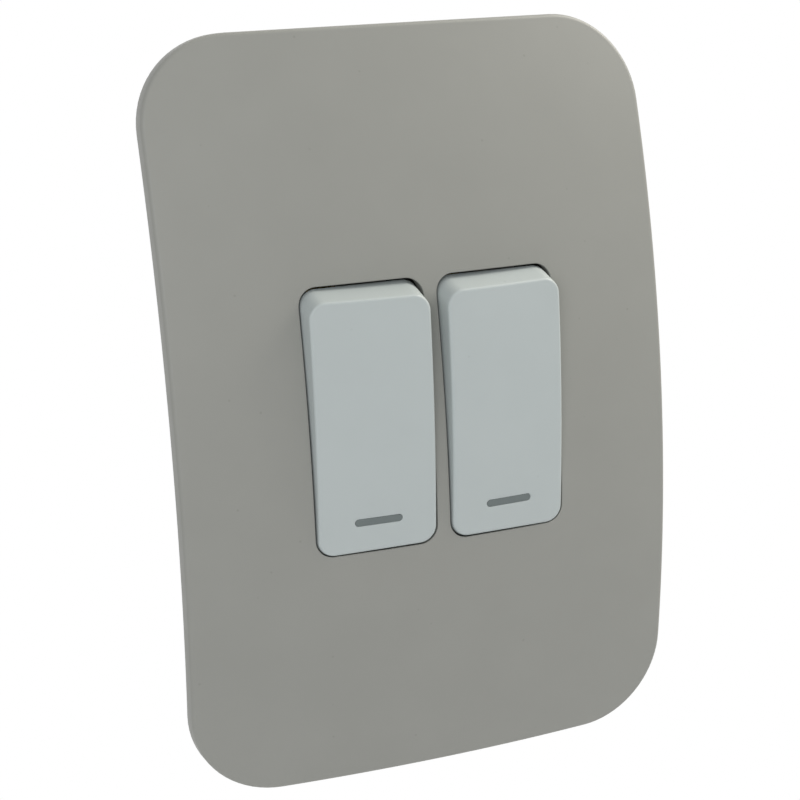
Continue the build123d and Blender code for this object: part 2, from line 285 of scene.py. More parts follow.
def srgb(red, green, blue):
    # a colour of 0 to 255 as linear light
    def linear(c):
        c /= 255
        return c / 12.92 if c <= 0.04045 else ((c + 0.055) / 1.055) ** 2.4
    return (linear(red), linear(green), linear(blue), 1)


def noiseNode(tree, coords, scale, detail, rough=0.5):
    return addNode(tree, "ShaderNodeTexNoise", {
        "Vector": coords, "Scale": scale, "Detail": detail, "Roughness": rough,
    }).outputs[0]


def rampNode(tree, value, low, high, lowValue, highValue):
    # from one range of values to another, held at both ends
    return addNode(tree, "ShaderNodeMapRange", {
        "Value": value, "From Min": low, "From Max": high, "To Min": lowValue, "To Max": highValue,
    }).outputs["Result"]


def mixNode(tree, share, one, other):
    # sockets 6, 7 and 2 are the colour ones
    return addNode(tree, "ShaderNodeMix", {0: share, 6: one, 7: other}, data_type="RGBA").outputs[2]


def bumpNode(tree, height, distance, strength=1.0):
    return addNode(tree, "ShaderNodeBump", {
        "Height": height, "Distance": distance, "Strength": strength,
    }).outputs["Normal"]


def objectCoords(tree):
    return addNode(tree, "ShaderNodeTexCoord").outputs["Object"]


noiseRange = (0.3, 0.7)  # where nearly all of a noise's values lie

plasticLook = {
    "cloudScale": 90, "cloudDetail": 3, "sheenScale": 260, "sheenDetail": 2, "sheenSpread": 0.03,
    "grainScale": 5200, "grainDetail": 2, "grainRough": 0.6, "ior": 1.5,
    "fleckScale": 420, "fleckSize": (0.05, 0.11), "fleckChoice": (0.84, 0.92), "fleckColour": (70, 68, 62),
}


def mouldedPlastic(name, colour, shade, rough, grain, fleck=0.0):
    # satin moulding: soft mottling, a fine spark-eroded grain and small faint flecks in the granulate
    p = plasticLook
    material, tree, shader = startMaterial(name)
    coords = objectCoords(tree)
    cloud = rampNode(tree, noiseNode(tree, coords, p["cloudScale"], p["cloudDetail"]), *noiseRange, 0, 1)
    tint = mixNode(tree, cloud, srgb(*colour), srgb(*shade))
    if fleck:
        cells = addNode(tree, "ShaderNodeTexVoronoi", {"Vector": coords, "Scale": p["fleckScale"]})
        spot = rampNode(tree, cells.outputs["Distance"], *p["fleckSize"], 1, 0)
        pick = addNode(tree, "ShaderNodeSeparateColor", {"Color": cells.outputs["Color"]})
        chosen = rampNode(tree, pick.outputs["Red"], *p["fleckChoice"], 0, fleck)
        tint = mixNode(tree, mathNode(tree, "MULTIPLY", spot, chosen), tint, srgb(*p["fleckColour"]))
    tree.links.new(tint, shader.inputs["Base Color"])
    gloss = noiseNode(tree, coords, p["sheenScale"], p["sheenDetail"])
    sheen = rampNode(tree, gloss, *noiseRange, rough - p["sheenSpread"], rough + p["sheenSpread"])
    tree.links.new(sheen, shader.inputs["Roughness"])
    texture = noiseNode(tree, coords, p["grainScale"], p["grainDetail"], p["grainRough"])
    tree.links.new(bumpNode(tree, texture, grain * mm), shader.inputs["Normal"])
    shader.inputs["IOR"].default_value = p["ior"]
    return material


metalLook = {
    "lineStretch": 40, "lineDetail": 3, "lineRough": 0.6, "lineRange": (0.35, 0.65), "lineShare": 0.3,
    "slowScale": 60, "slowDetail": 2, "slowShare": 0.7, "glossSpread": 0.06,
    "lineDepth": 0.003, "lineStrength": 0.6,
}


def sheetMetal(name, colour, shade, rough, lineScale):
    # rolled or plated metal: drawn lines along the length, a slow change of tone and of gloss
    m = metalLook
    material, tree, shader = startMaterial(name)
    coords = objectCoords(tree)
    stretch = addNode(tree, "ShaderNodeMapping", {
        "Vector": coords, "Scale": (lineScale, lineScale, lineScale / m["lineStretch"]),
    })
    lines = noiseNode(tree, stretch.outputs["Vector"], 1.0, m["lineDetail"], m["lineRough"])
    cloud = noiseNode(tree, coords, m["slowScale"], m["slowDetail"])
    slow = rampNode(tree, cloud, *noiseRange, 0, m["slowShare"])
    tone = mathNode(tree, "ADD", slow, rampNode(tree, lines, *m["lineRange"], 0, m["lineShare"]))
    tree.links.new(mixNode(tree, tone, srgb(*colour), srgb(*shade)), shader.inputs["Base Color"])
    shader.inputs["Metallic"].default_value = 1.0
    gloss = rampNode(tree, lines, *noiseRange, rough - m["glossSpread"], rough + m["glossSpread"])
    tree.links.new(gloss, shader.inputs["Roughness"])
    tree.links.new(bumpNode(tree, lines, m["lineDepth"] * mm, m["lineStrength"]), shader.inputs["Normal"])
    return material


# colour, its darker shade, roughness, then the grain's depth in mm or how many drawn lines to a metre
plateFinish = mouldedPlastic("plateGrey", (140, 141, 136), (138, 139, 134), 0.5, 0.006, fleck=0.16)
rockerFinish = mouldedPlastic("rockerWhite", (173, 181, 181), (171, 179, 179), 0.5, 0.004, fleck=0.12)
barFinish = mouldedPlastic("indicatorGrey", (100, 109, 108), (96, 105, 105), 0.45, 0.003)
baseFinish = mouldedPlastic("basePlastic", (199, 199, 193), (194, 194, 187), 0.5, 0.008)
collarFinish = mouldedPlastic("collarPlastic", (58, 59, 56), (53, 54, 51), 0.5, 0.008)
plungerFinish = mouldedPlastic("plungerPlastic", (222, 220, 210), (216, 213, 203), 0.4, 0.004)
zincFinish = sheetMetal("zincSteel", (178, 180, 180), (164, 167, 168), 0.34, 2600)
springFinish = sheetMetal("springSteel", (170, 171, 172), (150, 151, 153), 0.28, 4000)
copperFinish = sheetMetal("copperSheet", (196, 128, 92), (178, 110, 78), 0.3, 3600)
silverFinish = sheetMetal("contactSilver", (214, 214, 210), (196, 196, 194), 0.25, 4000)
brassFinish = sheetMetal("terminalBrass", (206, 172, 96), (184, 150, 80), 0.3, 3000)
screwFinish = sheetMetal("screwSteel", (184, 182, 170), (160, 158, 146), 0.3, 4200)
print("materials made")


# Cover plate

plateSizes = {
    "corner": 14.5, "bowRadius": 232.0, "crossRadius": 257.0, "wall": 2.2,
    "rimDepth": 3.2, "rimWidth": 2.4, "edgeRound": 0.8, "backRound": 0.3,
    "skirtInset": 6.5, "skirtWall": 1.5, "skirtRound": 0.25,
    "windowWidth": 20.3, "windowHeight": 42.7, "windowCorner": 2.9, "windowRound": 0.14,
    "windowLip": 0.3, "windowFlare": 14.0, "gangPitch": 22.5,
    "clipX": 30.8, "clipZ": 30.0, "clipSpan": 8.0, "clipWall": 1.6,
    "hookReach": 1.1, "hookRise": 2.6, "hookDepth": 1.4,
    "mesh": 1.3, "arcSteps": 18, "roundSteps": 8, "windowSteps": 10, "smallSteps": 4,
    "edgeHold": 0.08, "windowHold": 0.05,  # a first ring on the front, short of the rounding
}
plateLow, plateHigh = (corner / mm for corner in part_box("cover_plate"))
plateStand = -plateLow.y  # crown of the front above the wall


def crossFall(x, depth=0.0):
    # how far the front falls away from the middle, across
    radius = plateSizes["crossRadius"] - depth
    return radius - np.sqrt(radius ** 2 - x * x)


def plateSurface(x, z, depth=0.0):
    # the front, bowed up and down and across, or the surface at a depth below it
    arm = plateSizes["bowRadius"] - depth - crossFall(x, depth)
    return plateSizes["bowRadius"] - plateStand - np.sqrt(arm ** 2 - z * z)


def plateRise(outline, depth=0.0):
    # how fast the surface comes forward on the way in from the outline
    ahead = inset(outline, probe)
    near = plateSurface(outline[:, 0], outline[:, 1], depth)
    return (near - plateSurface(ahead[:, 0], ahead[:, 1], depth)) / probe


def onPlate(outline, depth=0.0):
    return atDepth(outline, plateSurface(outline[:, 0], outline[:, 1], depth))


def atDepth(outline, y):
    return np.stack(np.broadcast_arrays(outline[:, 0], y, outline[:, 1]), 1)


def plateEdge(shell, outline, radius, steps, holdBack):
    # rings from the front surface round the edge on to the wall
    edgeY = plateSurface(outline[:, 0], outline[:, 1])
    offsets = edgeRounding(0.0, -1.0, 1.0, plateRise(outline), radius, steps)
    rings = [onPlate(inset(outline, offsets[-1][:, 0] + holdBack))]
    for offset in reversed(offsets):
        rings.append(atDepth(inset(outline, offset[:, 0]), edgeY - offset[:, 1]))
    return [addRing(shell, ring) for ring in rings]


def makeCoverPlate():
    p = plateSizes
    shell = newShell()
    width, height = plateHigh.x - plateLow.x, plateHigh.z - plateLow.z
    outline = roundedOutline(width, height, p["corner"], p["arcSteps"], p["mesh"])
    front = lambda x, z: (x, plateSurface(x, z), z)
    back = lambda x, z: (x, plateSurface(x, z, p["wall"]), z)
    backMesh = 2 * p["mesh"]
    edge = plateEdge(shell, outline, p["edgeRound"], p["roundSteps"], p["edgeHold"])
    # rim, turned in behind the edge
    rimY = plateSurface(outline[:, 0], outline[:, 1], p["rimDepth"])
    rimRise = plateRise(outline, p["rimDepth"])
    for offset in edgeRounding(0.0, 1.0, 1.0, rimRise, p["backRound"], p["smallSteps"]):
        edge.append(addRing(shell, atDepth(inset(outline, offset[:, 0]), rimY - offset[:, 1])))
    rimIn = inset(outline, p["rimWidth"])
    edge.append(addRing(shell, onPlate(rimIn, p["rimDepth"])))
    edge.append(addRing(shell, onPlate(rimIn, p["wall"])))
    bridgeAll(shell, edge)
    # skirt that runs back to the wall
    skirtOut = inset(outline, p["skirtInset"])
    skirtIn = inset(outline, p["skirtInset"] + p["skirtWall"])
    small = p["skirtRound"]
    skirt = [addRing(shell, onPlate(skirtOut, p["wall"])), addRing(shell, atDepth(skirtOut, -small))]
    skirt.append(addRing(shell, atDepth(inset(skirtOut, small), 0.0)))
    skirt.append(addRing(shell, atDepth(inset(skirtIn, -small), 0.0)))
    skirt.append(addRing(shell, atDepth(skirtIn, -small)))
    skirt.append(addRing(shell, onPlate(skirtIn, p["wall"])))
    bridgeAll(shell, skirt)
    fillRegion(shell, edge[-1], [skirt[0]], back, backMesh)
    frontHoles, backHoles = [], []
    for side in (-1, 1):
        rings = windowRings(shell, side)
        frontHoles.append(rings[0])
        backHoles.append(rings[-1])
        for end in (-1, 1):
            backHoles.append(plateClip(shell, side, end * p["clipZ"]))
    fillRegion(shell, edge[0], frontHoles, front, p["mesh"])
    fillRegion(shell, skirt[-1], backHoles, back, backMesh)
    return shell


def windowRings(shell, side):
    # round the window's edge, down its lip and out along the flare of the end walls
    p = plateSizes
    width, height, corner = p["windowWidth"], p["windowHeight"], p["windowCorner"]
    window = roundedOutline(width, height, corner, p["windowSteps"], p["mesh"])
    window[:, 0] += side * p["gangPitch"] / 2
    window[:, 2:] *= -1  # the plate lies outside the window
    rings = plateEdge(shell, window, p["windowRound"], p["smallSteps"], p["windowHold"])
    rings.append(addRing(shell, onPlate(window, p["windowLip"])))
    flare = (p["wall"] - p["windowLip"]) * math.tan(math.radians(p["windowFlare"]))
    behind = window.copy()
    behind[:, 1] += np.sign(window[:, 1]) * flare * window[:, 3] ** 2
    rings.append(addRing(shell, onPlate(behind, p["wall"])))
    bridgeAll(shell, rings)
    return rings


def plateClip(shell, side, z):
    # a tongue with a hook that points outwards, behind the yoke's flange
    p = plateSizes
    inner = p["clipX"] - p["clipWall"] / 2
    outer = p["clipX"] + p["clipWall"] / 2
    low, high = z - p["clipSpan"] / 2, z + p["clipSpan"] / 2
    rise = -p["hookRise"] - p["hookDepth"] / 2
    foot = -p["hookRise"] + p["hookDepth"] / 2

    def ring(far, y=None):
        around = ((inner, low), (far, low), (far, high), (inner, high))
        corners = np.array([(side * x, end) for x, end in around])
        return addRing(shell, onPlate(corners, p["wall"]) if y is None else atDepth(corners, y))

    rings = [ring(outer), ring(outer, rise), ring(outer + p["hookReach"], rise), ring(outer, foot)]
    bridgeAll(shell, rings)
    shell["faces"].append(tuple(rings[-1]))
    return rings[0]


coverMesh = shellMesh("coverPlate", makeCoverPlate())
placePiece("coverPlate", coverMesh, plateFinish, "housing", "plate_grey", "cover_plate")
print("cover plate made,", len(coverMesh.polygons), "faces")


# Rockers and their indicator bars

rockerSizes = {
    "tilt": 5.2, "faceToPivot": 11.6, "faceRadius": 250.0, "faceRound": 0.5, "corner": 2.75,
    "sideGap": 0.22, "endGap": 0.25, "endDraft": 13.0, "endSwell": 0.006, "sideDraft": 2.0,
    "draftDepth": 3.6, "depth": 5.2, "wall": 1.5,
    "bossRadius": 2.96, "bossBack": 6.0, "boreRadius": 1.66, "boreFront": 8.4,
    "cheekIn": 8.05, "cheekOut": 9.55, "cheekWidth": 7.0, "cheekSink": 0.4,
    "pinRadius": 1.4, "pinRoot": 8.35, "pinEnd": 10.65, "pinRound": 0.15,
    "barLength": 7.85, "barWidth": 1.15, "barRise": 4.95, "barFit": 0.03, "barRound": 0.07,
    "mesh": 0.8, "roofMesh": 2.0, "barMesh": 0.3, "faceHold": 0.06,
    "arcSteps": 12, "roundSteps": 8, "boreSteps": 40, "cheekSteps": 24, "pinSteps": 36,
    "barEndSteps": 6, "barRoundSteps": 3, "edgeTries": 12,
}
joints = {joint["name"]: joint for joint in frame["joints"]}
tilt = math.radians(rockerSizes["tilt"])
windowHalf = plateSizes["windowHeight"] / 2
rockerWidth = plateSizes["windowWidth"] - 2 * rockerSizes["sideGap"]
faceSag = rockerSizes["faceRadius"] - math.sqrt(rockerSizes["faceRadius"] ** 2 - windowHalf ** 2)
faceEnd = rockerSizes["faceToPivot"] - faceSag  # levels are distances from the pivot axis
faceHalf = (windowHalf - rockerSizes["endGap"] - faceEnd * math.sin(tilt)) / math.cos(tilt)
draftLevel = faceEnd - rockerSizes["draftDepth"]
footLevel = faceEnd - rockerSizes["depth"]
gangOut = plateSizes["gangPitch"] / 2
faceFall = float(crossFall(gangOut + plateSizes["windowWidth"] / 2) - crossFall(gangOut))
ceiling = faceEnd - faceFall - rockerSizes["wall"]  # under the face, inside


def crown(x, h, gangX):
    # the face bows by itself up and down, and with the plate across
    r = rockerSizes
    arm = r["faceRadius"] - crossFall(x + gangX) + crossFall(gangX)
    return r["faceToPivot"] - r["faceRadius"] + np.sqrt(arm * arm - h * h)


def rockerOutline(level, shrink=0.0):
    # the drafted outline at a level, which may differ from point to point
    r = rockerSizes
    down = faceEnd - level
    lean = down * math.tan(math.radians(r["endDraft"])) + r["endSwell"] * down * np.abs(down)
    squeeze = np.maximum(level - draftLevel, 0) * math.tan(math.radians(r["sideDraft"]))
    corner = max(r["corner"] - shrink, r["corner"] / 4)  # the inside keeps a quarter at least
    width, height = rockerWidth - 2 * shrink, 2 * (faceHalf - shrink)
    base = roundedOutline(width, height, corner, r["arcSteps"], r["mesh"])
    moved = base.copy()
    moved[:, 0] -= np.clip(base[:, 0] / (rockerWidth / 2 - r["corner"]), -1, 1) * squeeze
    moved[:, 1] += np.clip(base[:, 1] / (faceHalf - r["corner"]), -1, 1) * lean
    return moved


def tilted(points, pivot):
    # from the level rocker (x, outward, up) to its place at rest
    x, out, up = np.asarray(points, float).T
    y = pivot[1] - out * math.cos(tilt) - up * math.sin(tilt)
    z = pivot[2] + up * math.cos(tilt) - out * math.sin(tilt)
    return np.stack((x + pivot[0], y, z), 1)


def atLevel(outline, out):
    return np.stack(np.broadcast_arrays(outline[:, 0], out, outline[:, 1]), 1)


def barOutline(grow):
    r = rockerSizes
    outline = slotOutline(r["barLength"] + 2 * grow, r["barWidth"] + 2 * grow, r["barEndSteps"])
    outline[:, 1] -= faceHalf - r["barRise"]
    return outline


def slotEdge(shell, outline, gangX):
    # rings round a small edge between the face and a straight wall, then down the wall
    r = rockerSizes
    edgeOut = crown(outline[:, 0], outline[:, 1], gangX)
    rings = []
    for offset in reversed(edgeRounding(0.0, -1.0, 1.0, 0.0, r["barRound"], r["barRoundSteps"])):
        rings.append(addRing(shell, atLevel(inset(outline, offset[0]), edgeOut + offset[1])))
    rings.append(addRing(shell, atLevel(outline, ceiling)))
    bridgeAll(shell, rings)
    return rings


def capRings(shell, gangX):
    # from the face round its edge, down the drafted wall and up again inside
    r = rockerSizes
    edgeLevel = r["faceToPivot"]
    for again in range(r["edgeTries"]):  # where each wall line meets the face
        edge = rockerOutline(edgeLevel)
        edgeLevel = crown(edge[:, 0], edge[:, 1], gangX)
    edge = rockerOutline(edgeLevel)
    lower = rockerOutline(edgeLevel - probe)
    ahead = inset(edge, probe)
    wallOut = ((lower[:, :2] - edge[:, :2]) * edge[:, 2:]).sum(1) / probe
    faceRise = (crown(ahead[:, 0], ahead[:, 1], gangX) - edgeLevel) / probe
    offsets = edgeRounding(-wallOut, -1.0, 1.0, faceRise, r["faceRound"], r["roundSteps"])
    held = inset(edge, offsets[-1][:, 0] + r["faceHold"])
    rings = [atLevel(held, crown(held[:, 0], held[:, 1], gangX))]
    for offset in reversed(offsets):
        rings.append(atLevel(inset(edge, offset[:, 0]), edgeLevel + offset[:, 1]))
    start = edgeLevel + offsets[0][:, 1]
    for share in (1 / 4, 1 / 2, 3 / 4, 1):
        mid = start + share * (draftLevel - start)
        rings.append(atLevel(rockerOutline(mid), mid))
    for outer in (draftLevel / 2 + footLevel / 2, footLevel):
        rings.append(atLevel(rockerOutline(outer), outer))
    for inner in (footLevel, draftLevel, ceiling):
        rings.append(atLevel(rockerOutline(inner, r["wall"]), inner))
    return [addRing(shell, ring) for ring in rings]


def makeCap(gangX):
    r = rockerSizes
    shell = newShell()
    rings = capRings(shell, gangX)
    bridgeAll(shell, rings)
    slot = barOutline(r["barFit"])
    slot[:, 2:] *= -1  # the face lies outside the slot
    slotRings = slotEdge(shell, slot, gangX)
    # boss with the plunger's bore
    boss, bore = (circleOutline(r[k], r["boreSteps"]) for k in ("bossRadius", "boreRadius"))
    back = -r["bossBack"]
    bossRings = [addRing(shell, atLevel(boss, ceiling)), addRing(shell, atLevel(boss, back))]
    bossRings += [addRing(shell, atLevel(bore, back)), addRing(shell, atLevel(bore, r["boreFront"]))]
    bridgeAll(shell, bossRings)
    shell["faces"].append(tuple(bossRings[-1]))
    face = lambda x, h: (x, crown(x, h, gangX), h)
    roof = lambda x, h: (x, ceiling, h)
    fillRegion(shell, rings[0], [slotRings[0]], face, r["mesh"])
    fillRegion(shell, rings[-1], [slotRings[-1], bossRings[0]], roof, r["roofMesh"])
    return shell


def makeCheek(side):
    # the lug beside the module's wall, which carries the pin
    r = rockerSizes
    half = r["cheekWidth"] / 2
    top = ceiling + r["cheekSink"]
    angles = np.linspace(math.pi, 2 * math.pi, r["cheekSteps"] + 1)
    outline = [(half, top), (-half, top)]
    outline += [(half * math.cos(a), half * math.sin(a)) for a in angles]
    shell = newShell()
    rings = []
    for x in (r["cheekIn"], r["cheekOut"]):
        rings.append(addRing(shell, [(side * x, out, up) for up, out in outline]))
    bridgeAll(shell, rings)
    shell["faces"] += [tuple(ring) for ring in rings]
    return shell


def makePin(side):
    r = rockerSizes
    shell = newShell()
    circle = circleOutline(1.0, r["pinSteps"])[:, :2]
    full, small = r["pinRadius"], r["pinRound"]
    rings = []
    for x, radius in ((r["pinRoot"], full), (r["pinEnd"] - small, full), (r["pinEnd"], full - small)):
        rings.append(addRing(shell, [(side * x, radius * out, radius * up) for up, out in circle]))
    bridgeAll(shell, rings)
    shell["faces"] += [tuple(rings[0]), tuple(rings[-1])]
    return shell


def joinShells(name, shells):
    # one closed mesh from shells that run into each other
    parts = [newObject(name + "Part", shellMesh(name + "Part", shell)) for shell in shells]
    for other in parts[1:]:
        joining = parts[0].modifiers.new("join", "BOOLEAN")
        joining.operation = "UNION"
        joining.solver = "EXACT"
        joining.object = other
    mesh = plainMesh(name, parts[0])
    for part in parts:
        bpy.data.objects.remove(part)
    return mesh


def makeBar(gangX):
    # the grey bar, flush with the face
    shell = newShell()
    rings = slotEdge(shell, barOutline(0.0), gangX)
    shell["faces"].append(tuple(rings[-1]))
    face = lambda x, h: (x, crown(x, h, gangX), h)
    fillRegion(shell, rings[0], [], face, rockerSizes["barMesh"])
    return shell


for gang in gangs:
    pivot = [c / mm for c in joints[gang + "_rocker_tilt"]["pos_m"]]
    body = gang + "_rocker_body"
    shells = [makeCap(pivot[0])] + [make(side) for side in (-1, 1) for make in (makeCheek, makePin)]
    bar = makeBar(pivot[0])
    for shell in shells + [bar]:
        shell["points"] = tilted(shell["points"], pivot).tolist()
    rockerMesh = joinShells(gang + "Rocker", shells)
    placePiece(gang + "Rocker", rockerMesh, rockerFinish, body, "rocker_white", gang + "_rocker")
    barMesh = shellMesh(gang + "Indicator", bar)
    placePiece(gang + "Indicator", barMesh, barFinish, body, "indicator_grey", gang + "_indicator")
    print(gang, "rocker made,", len(rockerMesh.polygons), "faces")


# Springs and screws, by node trees

def newTree(name, sizes):
    # a tree with a named input for each size
    tree = bpy.data.node_groups.new(name, "GeometryNodeTree")
    tree.interface.new_socket("Geometry", in_out="INPUT", socket_type="NodeSocketGeometry")
    for label, value in sizes.items():
        kind = "NodeSocketInt" if isinstance(value, int) else "NodeSocketFloat"
        tree.interface.new_socket(label, in_out="INPUT", socket_type=kind)
    tree.interface.new_socket("Geometry", in_out="OUTPUT", socket_type="NodeSocketGeometry")
    return tree, tree.nodes.new("NodeGroupInput").outputs


def endTree(tree, geometry, finish):
    whole = addNode(tree, "GeometryNodeRealizeInstances", {"Geometry": geometry})
    painted = addNode(tree, "GeometryNodeSetMaterial", {"Geometry": whole.outputs[0], "Material": finish})
    addNode(tree, "NodeGroupOutput", {"Geometry": painted.outputs[0]})


def growMesh(name, tree, sizes, base):
    # what the tree makes on a base mesh, as a plain mesh
    grown = newObject(name, base)
    modifier = grown.modifiers.new("tree", "NODES")
    modifier.node_group = tree
    for socket in tree.interface.items_tree:
        if socket.in_out == "INPUT" and socket.name in sizes:
            modifier[socket.identifier] = sizes[socket.name]
    mesh = plainMesh(name, grown)
    bpy.data.objects.remove(grown)
    return mesh


springSizes = {
    "turns": 7.0, "coilRadius": 1.22, "height": 7.34, "wireRadius": 0.28, "turnSteps": 36, "wireSteps": 12,
}
springPlace = {"start": 0.73, "room": 8.4, "travel": 1.0}  # from the pivot axis, along the plunger


def springTree():
    tree, given = newTree("coilSpring", springSizes)
    coil = addNode(tree, "GeometryNodeCurveSpiral", {
        "Resolution": given["turnSteps"], "Rotations": given["turns"], "Height": given["height"],
        "Start Radius": given["coilRadius"], "End Radius": given["coilRadius"],
    })
    wire = addNode(tree, "GeometryNodeCurvePrimitiveCircle", {
        "Resolution": given["wireSteps"], "Radius": given["wireRadius"],
    }, mode="RADIUS")
    tube = addNode(tree, "GeometryNodeCurveToMesh", {
        "Curve": coil.outputs[0], "Profile Curve": wire.outputs[0], "Fill Caps": True,
    })
    endTree(tree, tube.outputs[0], springFinish)
    return tree


coilTree = springTree()
for gang in gangs:
    pivot = Vector(joints[gang + "_rocker_tilt"]["pos_m"])
    coilMesh = growMesh(gang + "Spring", coilTree, springSizes, bpy.data.meshes.new(gang + "Spring"))
    outward = Vector((0, -math.cos(tilt), -math.sin(tilt)))
    start = Matrix.Translation(pivot + outward * springPlace["start"] * mm)
    turn = Matrix.Rotation(math.pi / 2 + tilt, 4, "X")
    coilMesh.transform(start @ turn @ Matrix.Scale(mm, 4))
    spring = placePiece(gang + "Spring", coilMesh, springFinish, gang + "_rocker_body", "spring_steel",
                        gang + "_plunger_spring")
    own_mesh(spring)
print("springs wound")

screwSizes = {
    "radius": 1.6, "length": 2.5, "threadDepth": 0.22, "pitch": 0.6, "chamfer": 0.3,
    "slotWidth": 0.6, "slotDepth": 0.7, "rows": 40, "around": 48,
}
screwTurns = (0.35, -0.5, 0.9, 0.1)  # how each slot came to rest, in radians


def screwTree():
    tree, given = newTree("clampScrew", screwSizes)
    rod = addNode(tree, "GeometryNodeMeshCylinder", {
        "Vertices": given["around"], "Side Segments": given["rows"],
        "Radius": given["radius"], "Depth": given["length"],
    })
    place = addNode(tree, "GeometryNodeInputPosition").outputs[0]
    axes = addNode(tree, "ShaderNodeSeparateXYZ", {0: place}).outputs
    # the thread is a wave that climbs with the angle round the rod
    climb = mathNode(tree, "DIVIDE", mathNode(tree, "ARCTAN2", axes[1], axes[0]), 2 * math.pi)
    phase = mathNode(tree, "SUBTRACT", mathNode(tree, "DIVIDE", axes[2], given["pitch"]), climb)
    wave = mathNode(tree, "PINGPONG", phase, 0.5)
    share = mathNode(tree, "MULTIPLY", wave, 2.0)
    groove = mathNode(tree, "MULTIPLY", share, given["threadDepth"])
    # both ends are chamfered
    halfLength = mathNode(tree, "MULTIPLY", given["length"], 0.5)
    fromEnd = mathNode(tree, "SUBTRACT", halfLength, mathNode(tree, "ABSOLUTE", axes[2]))
    bare = mathNode(tree, "MAXIMUM", mathNode(tree, "SUBTRACT", given["chamfer"], fromEnd), 0.0)
    shrink = mathNode(tree, "MAXIMUM", groove, bare)
    left = mathNode(tree, "SUBTRACT", 1.0, mathNode(tree, "DIVIDE", shrink, given["radius"]))
    moved = addNode(tree, "ShaderNodeCombineXYZ", {
        0: mathNode(tree, "MULTIPLY", axes[0], left),
        1: mathNode(tree, "MULTIPLY", axes[1], left), 2: axes[2],
    })
    threaded = addNode(tree, "GeometryNodeSetPosition", {
        "Geometry": rod.outputs[0], "Position": moved.outputs[0],
    })
    # the driver's slot, cut across the outer end by a bar that reaches past it on all sides
    span = addNode(tree, "ShaderNodeCombineXYZ", {
        0: mathNode(tree, "MULTIPLY", given["radius"], 3.0), 1: given["slotWidth"],
        2: mathNode(tree, "MULTIPLY", given["slotDepth"], 2.0),
    })
    cutter = addNode(tree, "GeometryNodeMeshCube", {"Size": span.outputs[0]})
    top = addNode(tree, "ShaderNodeCombineXYZ", {2: halfLength})
    raised = addNode(tree, "GeometryNodeTransform", {
        "Geometry": cutter.outputs[0], "Translation": top.outputs[0],
    })
    slotted = addNode(tree, "GeometryNodeMeshBoolean", {
        "Mesh 1": threaded.outputs[0], "Mesh 2": raised.outputs[0],
    }, operation="DIFFERENCE")
    turns = addNode(tree, "GeometryNodeInputNamedAttribute", {"Name": "turn"}, data_type="FLOAT_VECTOR")
    placed = addNode(tree, "GeometryNodeInstanceOnPoints", {
        "Points": given["Geometry"], "Instance": slotted.outputs[0], "Rotation": turns.outputs[0],
    })
    endTree(tree, placed.outputs[0], screwFinish)
    return tree


screwPoints, screwTurn = [], []
for number, (gang, end) in enumerate((g, e) for g in gangs for e in (-1, 1)):
    low, high = (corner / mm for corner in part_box(gang + "_terminal_screws"))
    middle = (low + high) / 2
    screwPoints.append((middle.x, middle.y, end * (high.z - screwSizes["length"] / 2)))
    screwTurn.append((0.0 if end > 0 else math.pi, 0.0, screwTurns[number]))
screwBase = bpy.data.meshes.new("terminalScrews")
screwBase.from_pydata(screwPoints, [], [])
screwBase.attributes.new("turn", "FLOAT_VECTOR", "POINT").data.foreach_set("vector", np.ravel(screwTurn))
screwMesh = growMesh("terminalScrews", screwTree(), screwSizes, screwBase)
screwMesh.transform(Matrix.Scale(mm, 4))
placePiece("terminalScrews", screwMesh, screwFinish, "housing", "screw_steel",
           "left_terminal_screws", "right_terminal_screws")
print("terminal screws made,", len(screwMesh.polygons), "faces")


# Pieces behind the plate, with their moulded or stamped edges softened

softPieces = {
    "mounting_yoke": {"finish": zincFinish, "slot": "zinc_steel", "rounding": 0.2},
    "module_base": {"finish": baseFinish, "slot": "base_plastic", "rounding": 0.22},
    "module_collar": {"finish": collarFinish, "slot": "collar_plastic", "rounding": 0.15},
    "plunger": {"finish": plungerFinish, "slot": "plunger_plastic", "rounding": 0.15},
    "contact_blade": {"finish": copperFinish, "slot": "copper_sheet", "rounding": 0.12},
    "moving_contact": {"finish": silverFinish, "slot": "contact_silver", "rounding": 0.25},
    "fixed_contact": {"finish": silverFinish, "slot": "contact_silver", "rounding": 0.25},
    "common_terminal": {"finish": brassFinish, "slot": "terminal_brass", "rounding": 0.12},
    "switched_terminal": {"finish": brassFinish, "slot": "terminal_brass", "rounding": 0.12},
}
softSettings = {"merge": 0.002, "flatAngle": 1, "segments": 2, "edgeAngle": 40}


def softMesh(name, node, rounding):
    # a copy of a node's solid with its triangles joined and its edges rounded
    s = softSettings
    work = bmesh.new()
    work.from_mesh(frame["nodes"][node].data)
    bmesh.ops.remove_doubles(work, verts=work.verts, dist=s["merge"] * mm)
    flat = math.radians(s["flatAngle"])
    bmesh.ops.dissolve_limit(work, angle_limit=flat, verts=work.verts, edges=work.edges)
    work.verts.index_update()
    bare = bpy.data.meshes.new(name)
    bare.from_pydata([v.co[:] for v in work.verts], [], [[v.index for v in f.verts] for f in work.faces])
    work.free()
    soft = newObject(name, bare)
    edges = soft.modifiers.new("edges", "BEVEL")
    edges.width = rounding * mm
    edges.segments = s["segments"]
    edges.limit_method = "ANGLE"
    edges.angle_limit = math.radians(s["edgeAngle"])
    mesh = plainMesh(name, soft)
    bpy.data.objects.remove(soft)
    return mesh


for node, owner in frame["nodes"].items():
    ending = next((e for e in softPieces if node in (e, "left_" + e, "right_" + e)), None)
    if ending is None:
        continue
    look = softPieces[ending]
    words = node.split("_")
    pieceName = words[0] + "".join(word.capitalize() for word in words[1:])
    pieceMesh = softMesh(pieceName, node, look["rounding"])
    placePiece(pieceName, pieceMesh, look["finish"], owner["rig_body"], look["slot"], node)
print("inner pieces softened")


